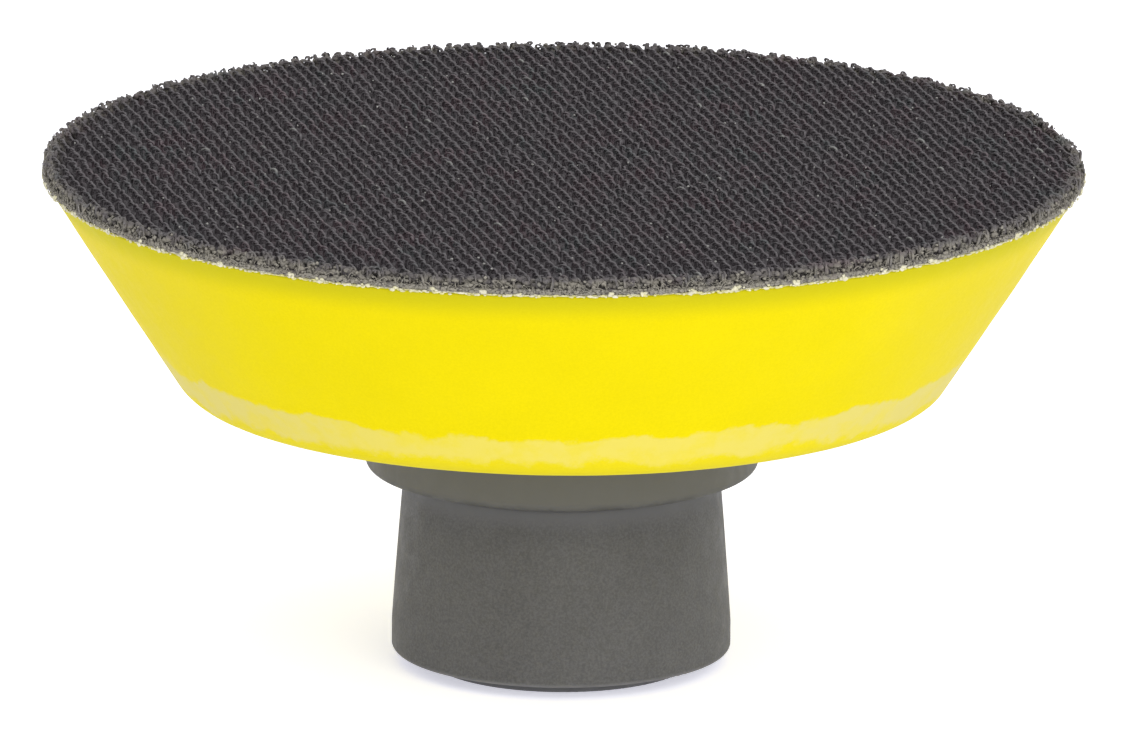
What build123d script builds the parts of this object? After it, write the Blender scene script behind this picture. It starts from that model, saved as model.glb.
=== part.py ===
from build123d import *
from math import sqrt
import os

# Quick-change rotary polishing head, standing hook face up on the ring under its nose collar.
# Millimetres, +Z along the spindle from the machine to the hook face, origin at the ring's underside.
# The nose collar and its bearing housing stay still on the machine; the spindle turns the pad.

# ---- clearances ------------------------------------------------------------------------------
SLIP = 0.01  # bearing rings on their seats
BOND_GAP = 0.03  # glued or moulded-in curved faces
RUN_GAP = 0.3  # between turning and still faces

# ---- shared shapes ---------------------------------------------------------------------------
HEX_SIDES = 6
RADIAL = (0, 90, 0)  # rotation that lays a cylinder along a radius

# ---- pad -------------------------------------------------------------------------------------
DISC_R = 38.1  # a 3 inch hook disc
FOAM_TOP_R = 37.9
FOAM_FLARE = 0.635  # growth in radius for each millimetre of height
FOAM_EDGE_R = 2.5  # rounding of the lower edge
FOAM_BOTTOM_Z = 20.7
FOAM_TOP_Z = 36.7
ADHESIVE_T = 0.1
BACKING_T = 0.35
PILE_T = 1.0
FOAM_BOTTOM_R = FOAM_TOP_R - FOAM_FLARE * (FOAM_TOP_Z - FOAM_BOTTOM_Z)

# ---- hub and carrier plate -------------------------------------------------------------------
HUB_R = 14.45
HUB_BOTTOM_Z = 14.75
HUB_TOP_Z = 23.85
HUB_EDGE_R = 0.6
SEAL_POCKET_R = 11.2
SEAL_POCKET_TOP_Z = 16.85
NOSE_POCKET_R = 9.8
HUB_SEAT_Z = 20.85  # the hub bears on the spindle disc here
PLATE_R = 25.0
PLATE_T = 1.5
PLATE_HOLE_R = 1.6
PLATE_TOP_Z = HUB_TOP_Z + PLATE_T
SCREW_COUNT = 4
SCREW_START_ANGLE = 45.0
SCREW_CIRCLE_R = 12.0
SCREW_R = 1.5
SCREW_HEAD_R = 2.8
SCREW_TIP_Z = 18.05
SCREW_DRIVE_R = 1.0
SCREW_DRIVE_DEPTH = 0.9

# ---- threaded insert and spindle -------------------------------------------------------------
STUD_R = 3.97  # 5/16-24
STUD_TOP_Z = 28.75
STUD_CHAMFER = 0.6
INSERT_FLATS = 12.7
INSERT_FLANGE_R = 8.4
INSERT_FLANGE_T = 1.2
INSERT_DOME_R = 6.5
INSERT_TOP_Z = 30.05
INSERT_BORE_TOP_Z = 29.05
SHAFT_R = 4.0
SHAFT_END_Z = 7.15
SHAFT_SHOULDER_R = 4.9
SPINDLE_DISC_R = 7.5
SPINDLE_DISC_Z = 19.75
DRIVE_FLATS = 5.0  # hex socket for the machine's output
DRIVE_DEPTH = 6.5
DRIVE_CHAMFER = 0.3

# ---- bearings, 8 x 14 x 4 --------------------------------------------------------------------
BEARING_W = 4.0
BEARING_OUTER_R = 7.0
PITCH_R = 5.5
BALL_R = 0.794
GROOVE_R = 0.82
BALL_COUNT = 11
INNER_RING_R = 4.95
OUTER_RING_R = 6.05
SHIELD_T = 0.2
SHIELD_SETBACK = 0.05
SHIELD_INNER_R = 5.08
SHIELD_OUTER_R = 6.25
CAGE_INNER_R = 5.12
CAGE_OUTER_R = 5.88
CAGE_HALF_W = 1.2
POCKET_R = 0.84
LOWER_BEARING_Z = 9.05
SPACER_T = 1.4
UPPER_BEARING_Z = LOWER_BEARING_Z + BEARING_W + SPACER_T
BEARING_TOP_Z = UPPER_BEARING_Z + BEARING_W
BEARING_Z = {"lower": LOWER_BEARING_Z, "upper": UPPER_BEARING_Z}

# ---- circlips and preload spring -------------------------------------------------------------
SHAFT_CLIP_Z = 7.95
SHAFT_CLIP_T = 0.6
SHAFT_GROOVE_R = 3.7
SHAFT_CLIP_R = 5.0
SHAFT_LUG_R = 0.8
BORE_CLIP_Z = BEARING_TOP_Z + 0.05
BORE_CLIP_T = 0.75
BORE_GROOVE_R = 7.45
BORE_CLIP_R = 6.15
BORE_LUG_R = 0.7
CLIP_GAP = 1.4
CLIP_GAP_ANGLE = -90.0  # both clips open towards the front
LUG_COUNT = 2
LUG_ANGLE = 15.0  # each lug stands this far from the middle of the gap
LUG_HOLE_R = 0.35
SPRING_T = 0.2
SPRING_OUTER_R = 4.9

# ---- nose collar and bearing housing ---------------------------------------------------------
RING_R = 9.9
RING_VISIBLE_H = 1.0
RING_T = 1.7
RING_BORE_R = 8.4
RING_EDGE_R = 0.2
COLLAR_FOOT_R = 12.48
COLLAR_FOOT_Z = 3.05  # the wall stands upright to here, then leans in
COLLAR_WAIST_R = 12.11
COLLAR_WAIST_Z = 8.25
COLLAR_TOP_R = 11.62
COLLAR_TOP_Z = 14.45
COLLAR_TOP_EDGE_R = 0.5
COLLAR_FOOT_EDGE_R = 0.35
NOSE_BORE_R = 8.0
NOSE_BORE_TOP_Z = 7.05
HOUSING_R = 10.3
HOUSING_STEP_Z = 13.85
HOUSING_NOSE_R = 9.4
HOUSING_TOP_Z = 19.45
HOUSING_LIP_R = 6.2
HOUSING_CHAMFER = 0.3
SEAL_TOP_Z = 16.55
CLAMP_R = 1.5  # M3 grub screw at the back of the collar
CLAMP_Z = 4.55
CLAMP_TIP_R = 8.1
CLAMP_END_R = 12.1
CLAMP_FLATS = 1.5
CLAMP_DRIVE_DEPTH = 1.3


def hexagon_radius(across_flats):
    """Corner radius of a hexagon of this width across its flats."""
    return across_flats / sqrt(3)


def write(piece, label):
    """Labels one finished piece and writes its STEP file."""
    piece.part.label = label
    export_step(piece.part, f"parts/{label}.step")


def ring(inner_r, outer_r, bottom_z, top_z):
    """A plain ring about the spindle axis."""
    with BuildPart() as band:
        with BuildSketch(Plane.XY.offset(bottom_z)):
            Circle(outer_r)
            Circle(inner_r, mode=Mode.SUBTRACT)
        extrude(amount=top_z - bottom_z)
    return band


# ---- the pad ---------------------------------------------------------------------------------
def foam_cushion():
    """Flared foam body, moulded round the hub's top, the carrier plate and the insert."""
    hub_hole_r = HUB_R + BOND_GAP
    plate_hole_r = PLATE_R + BOND_GAP
    flange_hole_r = INSERT_FLANGE_R + BOND_GAP
    dome_hole_r = INSERT_DOME_R + BOND_GAP
    flange_top_z = PLATE_TOP_Z + INSERT_FLANGE_T
    with BuildPart() as foam:
        with BuildSketch(Plane.XZ) as profile:
            with BuildLine():
                Polyline(
                    (0, INSERT_TOP_Z),
                    (dome_hole_r, INSERT_TOP_Z),
                    (dome_hole_r, flange_top_z),
                    (flange_hole_r, flange_top_z),
                    (flange_hole_r, PLATE_TOP_Z),
                    (plate_hole_r, PLATE_TOP_Z),
                    (plate_hole_r, HUB_TOP_Z),
                    (hub_hole_r, HUB_TOP_Z),
                    (hub_hole_r, FOAM_BOTTOM_Z),
                    (FOAM_BOTTOM_R, FOAM_BOTTOM_Z),
                    (FOAM_TOP_R, FOAM_TOP_Z),
                    (0, FOAM_TOP_Z),
                    close=True,
                )
            make_face()
            lower_corner = profile.vertices().filter_by_position(
                Axis.X, FOAM_BOTTOM_R - BOND_GAP, FOAM_BOTTOM_R + BOND_GAP
            )
            fillet(lower_corner, radius=FOAM_EDGE_R)
        revolve(axis=Axis.Z)
    return foam


def adhesive_film():
    """Film of glue between the foam and the hook disc."""
    return solid_disc(FOAM_TOP_R, FOAM_TOP_Z, ADHESIVE_T)


def hook_backing():
    """Woven backing that the hooks stand on."""
    return solid_disc(DISC_R, FOAM_TOP_Z + ADHESIVE_T, BACKING_T)


def hook_pile():
    """The height that the hooks fill, as one closed layer."""
    return solid_disc(DISC_R, FOAM_TOP_Z + ADHESIVE_T + BACKING_T, PILE_T)


def solid_disc(radius, bottom_z, thickness):
    """A plain disc about the spindle axis."""
    with BuildPart() as disc:
        with BuildSketch(Plane.XY.offset(bottom_z)):
            Circle(radius)
        extrude(amount=thickness)
    return disc


# ---- hub, plate, screws and insert -----------------------------------------------------------
def hub_flange():
    """Moulded hub: bolted under the plate, seated on the spindle disc, hooded over the nose."""
    with BuildPart() as hub:
        with BuildSketch(Plane.XY.offset(HUB_BOTTOM_Z)):
            Circle(HUB_R)
        extrude(amount=HUB_TOP_Z - HUB_BOTTOM_Z)
        with BuildSketch(Plane.XY.offset(HUB_BOTTOM_Z)):
            Circle(SEAL_POCKET_R)
        extrude(amount=SEAL_POCKET_TOP_Z - HUB_BOTTOM_Z, mode=Mode.SUBTRACT)
        with BuildSketch(Plane.XY.offset(HUB_BOTTOM_Z)):
            Circle(NOSE_POCKET_R)
        extrude(amount=HUB_SEAT_Z - HUB_BOTTOM_Z, mode=Mode.SUBTRACT)
        with BuildSketch(Plane.XY.offset(HUB_SEAT_Z)):
            RegularPolygon(hexagon_radius(INSERT_FLATS) + BOND_GAP, HEX_SIDES)
        extrude(amount=HUB_TOP_Z - HUB_SEAT_Z, mode=Mode.SUBTRACT)
        with BuildSketch(Plane.XY.offset(SCREW_TIP_Z)):
            with PolarLocations(SCREW_CIRCLE_R, SCREW_COUNT, SCREW_START_ANGLE):
                Circle(SCREW_R + BOND_GAP)
        extrude(amount=HUB_TOP_Z - SCREW_TIP_Z, mode=Mode.SUBTRACT)
        outer_edges = hub.edges().filter_by(GeomType.CIRCLE).sort_by(Axis.Z)
        fillet(outer_edges.filter_by(lambda e: abs(e.radius - HUB_R) < SLIP)[0], radius=HUB_EDGE_R)
    return hub


def countersunk_depth():
    """Depth of a 90 degree countersunk head."""
    return SCREW_HEAD_R - SCREW_R


def carrier_plate():
    """Stiff disc that carries the foam, with a hexagon hole for the insert."""
    with BuildPart() as plate:
        with BuildSketch(Plane.XY.offset(HUB_TOP_Z)):
            Circle(PLATE_R)
            RegularPolygon(hexagon_radius(INSERT_FLATS) + BOND_GAP, HEX_SIDES, mode=Mode.SUBTRACT)
        extrude(amount=PLATE_T)
        with Locations(Location((0, 0, PLATE_TOP_Z))):
            with PolarLocations(SCREW_CIRCLE_R, SCREW_COUNT, SCREW_START_ANGLE):
                CounterSinkHole(
                    radius=PLATE_HOLE_R,
                    counter_sink_radius=SCREW_HEAD_R + BOND_GAP,
                    depth=PLATE_T,
                )
    return plate


def plate_screws():
    """Countersunk screws that hold the plate to the hub."""
    head_depth = countersunk_depth()
    with BuildPart() as screws:
        with BuildSketch(Plane.XY.offset(SCREW_TIP_Z)):
            with PolarLocations(SCREW_CIRCLE_R, SCREW_COUNT, SCREW_START_ANGLE):
                Circle(SCREW_R)
        extrude(amount=PLATE_TOP_Z - SCREW_TIP_Z)
        with Locations(Location((0, 0, PLATE_TOP_Z - head_depth / 2))):
            with PolarLocations(SCREW_CIRCLE_R, SCREW_COUNT, SCREW_START_ANGLE):
                Cone(bottom_radius=SCREW_R, top_radius=SCREW_HEAD_R, height=head_depth)
        with BuildSketch(Plane.XY.offset(PLATE_TOP_Z - SCREW_DRIVE_DEPTH)):
            with PolarLocations(SCREW_CIRCLE_R, SCREW_COUNT, SCREW_START_ANGLE):
                RegularPolygon(SCREW_DRIVE_R, HEX_SIDES)
        extrude(amount=SCREW_DRIVE_DEPTH, mode=Mode.SUBTRACT)
    return screws


def threaded_insert():
    """Capped steel nut that the spindle's stud screws into."""
    with BuildPart() as insert:
        with BuildSketch(Plane.XY.offset(HUB_SEAT_Z)):
            RegularPolygon(hexagon_radius(INSERT_FLATS), HEX_SIDES)
        extrude(amount=PLATE_TOP_Z - HUB_SEAT_Z)
        with BuildSketch(Plane.XY.offset(PLATE_TOP_Z)):
            Circle(INSERT_FLANGE_R)
        extrude(amount=INSERT_FLANGE_T)
        with BuildSketch(Plane.XY.offset(PLATE_TOP_Z + INSERT_FLANGE_T)):
            Circle(INSERT_DOME_R)
        extrude(amount=INSERT_TOP_Z - PLATE_TOP_Z - INSERT_FLANGE_T)
        with BuildSketch(Plane.XY.offset(HUB_SEAT_Z)):
            Circle(STUD_R + BOND_GAP)
        extrude(amount=INSERT_BORE_TOP_Z - HUB_SEAT_Z, mode=Mode.SUBTRACT)
    return insert


# ---- spindle and what is on it ---------------------------------------------------------------
def spindle():
    """Shaft with a hex drive socket below, a seat disc and a threaded stud above."""
    journal_r = SHAFT_R - SLIP
    with BuildPart() as shaft:
        with BuildSketch(Plane.XZ):
            with BuildLine():
                Polyline(
                    (0, SHAFT_END_Z),
                    (journal_r - DRIVE_CHAMFER, SHAFT_END_Z),
                    (journal_r, SHAFT_END_Z + DRIVE_CHAMFER),
                    (journal_r, SHAFT_CLIP_Z),
                    (SHAFT_GROOVE_R, SHAFT_CLIP_Z),
                    (SHAFT_GROOVE_R, SHAFT_CLIP_Z + SHAFT_CLIP_T),
                    (journal_r, SHAFT_CLIP_Z + SHAFT_CLIP_T),
                    (journal_r, BEARING_TOP_Z),
                    (SHAFT_SHOULDER_R, BEARING_TOP_Z),
                    (SHAFT_SHOULDER_R, SPINDLE_DISC_Z),
                    (SPINDLE_DISC_R, SPINDLE_DISC_Z),
                    (SPINDLE_DISC_R, HUB_SEAT_Z),
                    (STUD_R, HUB_SEAT_Z),
                    (STUD_R, STUD_TOP_Z - STUD_CHAMFER),
                    (STUD_R - STUD_CHAMFER, STUD_TOP_Z),
                    (0, STUD_TOP_Z),
                    close=True,
                )
            make_face()
        revolve(axis=Axis.Z)
        with BuildSketch(Plane.XY.offset(SHAFT_END_Z)):
            RegularPolygon(hexagon_radius(DRIVE_FLATS), HEX_SIDES)
        extrude(amount=DRIVE_DEPTH, mode=Mode.SUBTRACT)
    return shaft


def lug_places(circle_r):
    """The two places of a circlip's lugs, either side of its gap."""
    lug_step = 2 * LUG_ANGLE
    first_angle = CLIP_GAP_ANGLE - LUG_ANGLE
    return PolarLocations(circle_r, LUG_COUNT, first_angle, angular_range=LUG_COUNT * lug_step)


def shaft_circlip():
    """Outside circlip that holds the lower bearing on the shaft."""
    inner_r = SHAFT_GROOVE_R + BOND_GAP
    with BuildPart() as clip:
        with BuildSketch(Plane.XY.offset(SHAFT_CLIP_Z)):
            Circle(SHAFT_CLIP_R)
            with lug_places(SHAFT_CLIP_R):
                Circle(SHAFT_LUG_R)
                Circle(LUG_HOLE_R, mode=Mode.SUBTRACT)
            Circle(inner_r, mode=Mode.SUBTRACT)
            with Locations((0, -SHAFT_CLIP_R)):
                Rectangle(CLIP_GAP, SHAFT_CLIP_R, mode=Mode.SUBTRACT)
        extrude(amount=SHAFT_CLIP_T)
    return clip


def bore_circlip():
    """Inside circlip that holds the upper bearing in the housing."""
    outer_r = BORE_GROOVE_R - BOND_GAP
    with BuildPart() as clip:
        with BuildSketch(Plane.XY.offset(BORE_CLIP_Z)):
            Circle(outer_r)
            Circle(BORE_CLIP_R, mode=Mode.SUBTRACT)
            with lug_places(BORE_CLIP_R):
                Circle(BORE_LUG_R)
                Circle(LUG_HOLE_R, mode=Mode.SUBTRACT)
            with Locations((0, -BORE_CLIP_R)):
                Rectangle(CLIP_GAP, BORE_CLIP_R / 2, mode=Mode.SUBTRACT)
        extrude(amount=BORE_CLIP_T)
    return clip


def disc_spring():
    """Conical washer that takes the play out of the bearings."""
    inner_r = SHAFT_R + BOND_GAP
    low_z = SHAFT_CLIP_Z + SHAFT_CLIP_T
    with BuildPart() as spring:
        with BuildSketch(Plane.XZ):
            with BuildLine():
                Polyline(
                    (inner_r, LOWER_BEARING_Z - SPRING_T),
                    (inner_r, LOWER_BEARING_Z),
                    (SPRING_OUTER_R, low_z + SPRING_T),
                    (SPRING_OUTER_R, low_z),
                    close=True,
                )
            make_face()
        revolve(axis=Axis.Z)
    return spring


# ---- bearings --------------------------------------------------------------------------------
def cut_ball_track(middle_z):
    """Takes the ball track's cross-section out of the caller's sketch."""
    with Locations((PITCH_R, middle_z)):
        Circle(GROOVE_R, mode=Mode.SUBTRACT)


def inner_race(bottom_z):
    """Grooved ring on the shaft."""
    middle_z = bottom_z + BEARING_W / 2
    with BuildPart() as race:
        with BuildSketch(Plane.XZ):
            with Locations(((SHAFT_R + INNER_RING_R) / 2, middle_z)):
                Rectangle(INNER_RING_R - SHAFT_R, BEARING_W)
            cut_ball_track(middle_z)
        revolve(axis=Axis.Z)
    return race


def outer_race(bottom_z):
    """Grooved ring in the housing, stepped at both faces for the shields."""
    seat_r = BEARING_OUTER_R - SLIP
    shield_depth = SHIELD_T + SHIELD_SETBACK
    middle_z = bottom_z + BEARING_W / 2
    with BuildPart() as race:
        with BuildSketch(Plane.XZ):
            with Locations(((OUTER_RING_R + seat_r) / 2, middle_z)):
                Rectangle(seat_r - OUTER_RING_R, BEARING_W)
            with Locations((OUTER_RING_R, bottom_z), (OUTER_RING_R, bottom_z + BEARING_W)):
                Rectangle(
                    2 * (SHIELD_OUTER_R + BOND_GAP - OUTER_RING_R),
                    2 * shield_depth,
                    mode=Mode.SUBTRACT,
                )
            cut_ball_track(middle_z)
        revolve(axis=Axis.Z)
    return race


def shields(bottom_z):
    """The two pressed covers of one bearing."""
    with BuildPart() as covers:
        for face_z in (
            bottom_z + SHIELD_SETBACK,
            bottom_z + BEARING_W - SHIELD_SETBACK - SHIELD_T,
        ):
            with BuildSketch(Plane.XY.offset(face_z)):
                Circle(SHIELD_OUTER_R)
                Circle(SHIELD_INNER_R, mode=Mode.SUBTRACT)
            extrude(amount=SHIELD_T)
    return covers


def balls(bottom_z):
    """One bearing's balls."""
    with BuildPart() as ball_set:
        with Locations(Location((0, 0, bottom_z + BEARING_W / 2))):
            with PolarLocations(PITCH_R, BALL_COUNT):
                Sphere(BALL_R)
    return ball_set


def ball_cage(bottom_z):
    """Ring that keeps the balls apart."""
    middle_z = bottom_z + BEARING_W / 2
    with BuildPart() as cage:
        with BuildSketch(Plane.XY.offset(middle_z - CAGE_HALF_W)):
            Circle(CAGE_OUTER_R)
            Circle(CAGE_INNER_R, mode=Mode.SUBTRACT)
        extrude(amount=2 * CAGE_HALF_W)
        with Locations(Location((0, 0, middle_z))):
            with PolarLocations(PITCH_R, BALL_COUNT):
                Cylinder(
                    radius=POCKET_R,
                    height=2 * CAGE_HALF_W,
                    rotation=RADIAL,
                    mode=Mode.SUBTRACT,
                )
    return cage


def race_spacer(inner_r, outer_r):
    """Ring that keeps two bearing rings apart."""
    return ring(inner_r, outer_r, LOWER_BEARING_Z + BEARING_W, UPPER_BEARING_Z)


# ---- the still part: collar, housing, ring and seal ------------------------------------------
def nose_collar():
    """Grey collar: leans in upwards, holds the housing above and fits the machine's nose below."""
    with BuildPart() as collar:
        with BuildSketch(Plane.XZ) as profile:
            with BuildLine():
                wall = ThreePointArc(
                    (COLLAR_FOOT_R, COLLAR_FOOT_Z),
                    (COLLAR_WAIST_R, COLLAR_WAIST_Z),
                    (COLLAR_TOP_R, COLLAR_TOP_Z),
                )
                Polyline(
                    wall @ 1,
                    (HOUSING_R, COLLAR_TOP_Z),
                    (HOUSING_R, NOSE_BORE_TOP_Z),
                    (NOSE_BORE_R, NOSE_BORE_TOP_Z),
                    (NOSE_BORE_R, RING_T),
                    (RING_R, RING_T),
                    (RING_R, RING_VISIBLE_H),
                    (COLLAR_FOOT_R, RING_VISIBLE_H),
                    wall @ 0,
                )
            make_face()
            corners = profile.vertices().sort_by(Axis.X)
            foot_corner = corners.filter_by_position(Axis.Y, 0, RING_VISIBLE_H + SLIP)[-1]
            fillet(foot_corner, radius=COLLAR_FOOT_EDGE_R)
            top_corner = profile.vertices().filter_by_position(
                Axis.X, COLLAR_TOP_R - SLIP, COLLAR_TOP_R + SLIP
            )
            fillet(top_corner, radius=COLLAR_TOP_EDGE_R)
        revolve(axis=Axis.Z)
        with BuildSketch(Plane.XZ):
            with Locations((0, CLAMP_Z)):
                Circle(CLAMP_R + BOND_GAP)
        extrude(amount=-DISC_R, mode=Mode.SUBTRACT)
    return collar


def base_ring():
    """Soft ring under the collar that beds on the machine's nose."""
    with BuildPart() as gasket:
        with BuildSketch(Plane.XY):
            Circle(RING_R - BOND_GAP)
            Circle(RING_BORE_R, mode=Mode.SUBTRACT)
        extrude(amount=RING_T)
        fillet(gasket.faces().sort_by(Axis.Z)[0].edges(), radius=RING_EDGE_R)
    return gasket


def bearing_housing():
    """Turned housing for both bearings, with a lip below and a clip groove above."""
    groove_top_z = BORE_CLIP_Z + BORE_CLIP_T + SLIP
    with BuildPart() as housing:
        with BuildSketch(Plane.XZ):
            with BuildLine():
                Polyline(
                    (HOUSING_LIP_R, NOSE_BORE_TOP_Z),
                    (HOUSING_R - BOND_GAP, NOSE_BORE_TOP_Z),
                    (HOUSING_R - BOND_GAP, HOUSING_STEP_Z),
                    (HOUSING_NOSE_R, HOUSING_STEP_Z),
                    (HOUSING_NOSE_R, HOUSING_TOP_Z - HOUSING_CHAMFER),
                    (HOUSING_NOSE_R - HOUSING_CHAMFER, HOUSING_TOP_Z),
                    (BEARING_OUTER_R, HOUSING_TOP_Z),
                    (BEARING_OUTER_R, groove_top_z),
                    (BORE_GROOVE_R, groove_top_z),
                    (BORE_GROOVE_R, BORE_CLIP_Z),
                    (BEARING_OUTER_R, BORE_CLIP_Z),
                    (BEARING_OUTER_R, LOWER_BEARING_Z),
                    (HOUSING_LIP_R, LOWER_BEARING_Z),
                    close=True,
                )
            make_face()
        revolve(axis=Axis.Z)
    return housing


def dust_seal():
    """Lipped ring stretched over the housing's nose, inside the hub's skirt."""
    inner_r = HOUSING_NOSE_R + BOND_GAP
    body_r = HOUSING_R - BOND_GAP
    lip_r = SEAL_POCKET_R - RUN_GAP
    lip_root_z = COLLAR_TOP_Z + RUN_GAP
    with BuildPart() as seal:
        with BuildSketch(Plane.XZ):
            with BuildLine():
                Polyline(
                    (inner_r, HOUSING_STEP_Z),
                    (body_r, HOUSING_STEP_Z),
                    (body_r, lip_root_z),
                    (lip_r, SEAL_TOP_Z - RING_EDGE_R),
                    (lip_r - RING_EDGE_R, SEAL_TOP_Z),
                    ((inner_r + body_r) / 2, lip_root_z + RUN_GAP),
                    (inner_r, lip_root_z + RUN_GAP),
                    close=True,
                )
            make_face()
        revolve(axis=Axis.Z)
    return seal


def clamp_screw():
    """Grub screw at the back that fixes the collar on the machine's nose."""
    with BuildPart() as screw:
        with BuildSketch(Plane.XZ.offset(-CLAMP_TIP_R)):
            with Locations((0, CLAMP_Z)):
                Circle(CLAMP_R)
        extrude(amount=CLAMP_TIP_R - CLAMP_END_R)
        with BuildSketch(Plane.XZ.offset(-CLAMP_END_R)):
            with Locations((0, CLAMP_Z)):
                RegularPolygon(hexagon_radius(CLAMP_FLATS), HEX_SIDES)
        extrude(amount=CLAMP_DRIVE_DEPTH, mode=Mode.SUBTRACT)
    return screw


os.makedirs("parts", exist_ok=True)

write(foam_cushion(), "foam_cushion")
write(adhesive_film(), "adhesive_film")
write(hook_backing(), "hook_backing")
write(hook_pile(), "hook_pile")

write(hub_flange(), "hub_flange")
write(carrier_plate(), "carrier_plate")
write(plate_screws(), "plate_screws")
write(threaded_insert(), "threaded_insert")

write(spindle(), "spindle")
write(shaft_circlip(), "shaft_circlip")
write(disc_spring(), "disc_spring")
write(race_spacer(SHAFT_R, INNER_RING_R), "inner_race_spacer")

for place, bearing_z in BEARING_Z.items():
    write(inner_race(bearing_z), f"{place}_inner_race")
    write(outer_race(bearing_z), f"{place}_outer_race")
    write(shields(bearing_z), f"{place}_bearing_shields")
    write(balls(bearing_z), f"{place}_balls")
    write(ball_cage(bearing_z), f"{place}_ball_cage")

write(nose_collar(), "nose_collar")
write(bearing_housing(), "bearing_housing")
write(race_spacer(OUTER_RING_R, BEARING_OUTER_R - SLIP), "outer_race_spacer")
write(bore_circlip(), "bore_circlip")
write(dust_seal(), "dust_seal")
write(base_ring(), "base_ring")
write(clamp_screw(), "clamp_screw")
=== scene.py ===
import math

import bpy
import numpy as np
from mathutils import Matrix, Vector, noise


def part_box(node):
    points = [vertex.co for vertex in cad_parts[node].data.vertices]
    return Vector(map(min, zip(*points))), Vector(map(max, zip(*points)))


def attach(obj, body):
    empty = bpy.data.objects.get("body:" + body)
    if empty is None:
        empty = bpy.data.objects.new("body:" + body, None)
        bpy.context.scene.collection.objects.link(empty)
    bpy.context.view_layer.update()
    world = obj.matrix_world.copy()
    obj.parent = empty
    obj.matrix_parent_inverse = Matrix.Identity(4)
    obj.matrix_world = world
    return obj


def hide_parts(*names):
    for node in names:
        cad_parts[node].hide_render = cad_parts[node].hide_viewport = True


# The visual model of a rotary polishing head: foam, hook tape and glue in place of the CAD's plain
# solids, finishes on everything, and the stage.
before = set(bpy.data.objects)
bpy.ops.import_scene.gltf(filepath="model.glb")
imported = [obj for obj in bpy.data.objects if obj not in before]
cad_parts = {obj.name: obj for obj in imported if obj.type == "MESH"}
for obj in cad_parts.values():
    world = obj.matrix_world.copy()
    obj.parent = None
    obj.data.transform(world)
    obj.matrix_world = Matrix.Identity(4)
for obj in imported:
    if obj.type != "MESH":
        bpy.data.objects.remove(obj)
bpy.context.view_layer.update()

MM = 0.001
TAU = 2 * math.pi
rng = np.random.default_rng(7)

# ---- places and sizes, from the frame ---------------------------------------------------------
foam_low, foam_high = (Vector(c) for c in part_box("foam_cushion"))
backing_low, backing_high = (Vector(c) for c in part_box("hook_backing"))
pile_low, pile_high = (Vector(c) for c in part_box("hook_pile"))
hub_low, hub_high = (Vector(c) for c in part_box("hub_flange"))
collar_low, collar_high = (Vector(c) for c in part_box("nose_collar"))
plate_low, plate_high = (Vector(c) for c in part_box("carrier_plate"))
_, insert_high = (Vector(c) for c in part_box("threaded_insert"))

DISC_R = pile_high.x
FOAM_TOP_R = foam_high.x
FOAM_FLARE = 0.635  # growth in radius per unit of height
FOAM_EDGE_R = 2.5 * MM
FOAM_GAP = 0.03 * MM  # round what it is moulded on
HUB_R = hub_high.x
PLATE_R = plate_high.x
INSERT_FLANGE_R = 8.4 * MM
INSERT_FLANGE_T = 1.2 * MM
INSERT_DOME_R = 6.5 * MM
AXIS_R = 0.001 * MM  # stands for a radius of nothing, so that no two points coincide

# the hooks' slanting grid, seen from above: how far to the next row and to the next hook in a row
ROW_STEP = Vector((0.711, 0.746)) * MM
HOOK_STEP = Vector((-0.21, 0.8675)) * MM
ROW_ANGLE = math.atan2(HOOK_STEP.y, HOOK_STEP.x)
LAST_ROW = int(1.5 * DISC_R / ROW_STEP.length)  # rows each way from the middle, enough for the disc
LAST_HOOK = int(1.9 * DISC_R / HOOK_STEP.length)  # hooks each way in a row, enough for the disc
ROW_SETS = 3  # the rows are shared out among this many pieces


# ---- mesh helpers ------------------------------------------------------------------------------
def mesh_object(name, points, faces, smooth=True):
    """A new piece from points and faces."""
    mesh = bpy.data.meshes.new(name)
    mesh.from_pydata([tuple(p) for p in points], [], [tuple(f) for f in faces])
    mesh.polygons.foreach_set("use_smooth", [smooth] * len(mesh.polygons))
    mesh.update()
    piece = bpy.data.objects.new(name, mesh)
    bpy.context.scene.collection.objects.link(piece)
    return piece


def arc(centre, radius, start, end, steps):
    """Points on an arc in the radius and height plane; angles in degrees."""
    return [
        (
            centre[0] + radius * math.cos(math.radians(a)),
            centre[1] + radius * math.sin(math.radians(a)),
        )
        for a in np.linspace(start, end, steps + 1)
    ]


def run(start, end, steps):
    """Evenly spaced points from start to just before end."""
    return [
        (start[0] + (end[0] - start[0]) * i / steps, start[1] + (end[1] - start[1]) * i / steps)
        for i in range(steps)
    ]


def revolved(name, outline, around, wobble=None):
    """A closed ring of the outline about the spindle axis; wobble moves each point."""
    points = []
    for k in range(around):
        angle = TAU * k / around
        for r, z in outline:
            p = Vector((r * math.cos(angle), r * math.sin(angle), z))
            points.append(wobble(p) if wobble else p)
    n = len(outline)
    faces = []
    for k in range(around):
        a, b = k * n, (k + 1) % around * n
        for i in range(n):
            j = (i + 1) % n
            faces.append((a + i, a + j, b + j, b + i))
    return mesh_object(name, points, faces)


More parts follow.
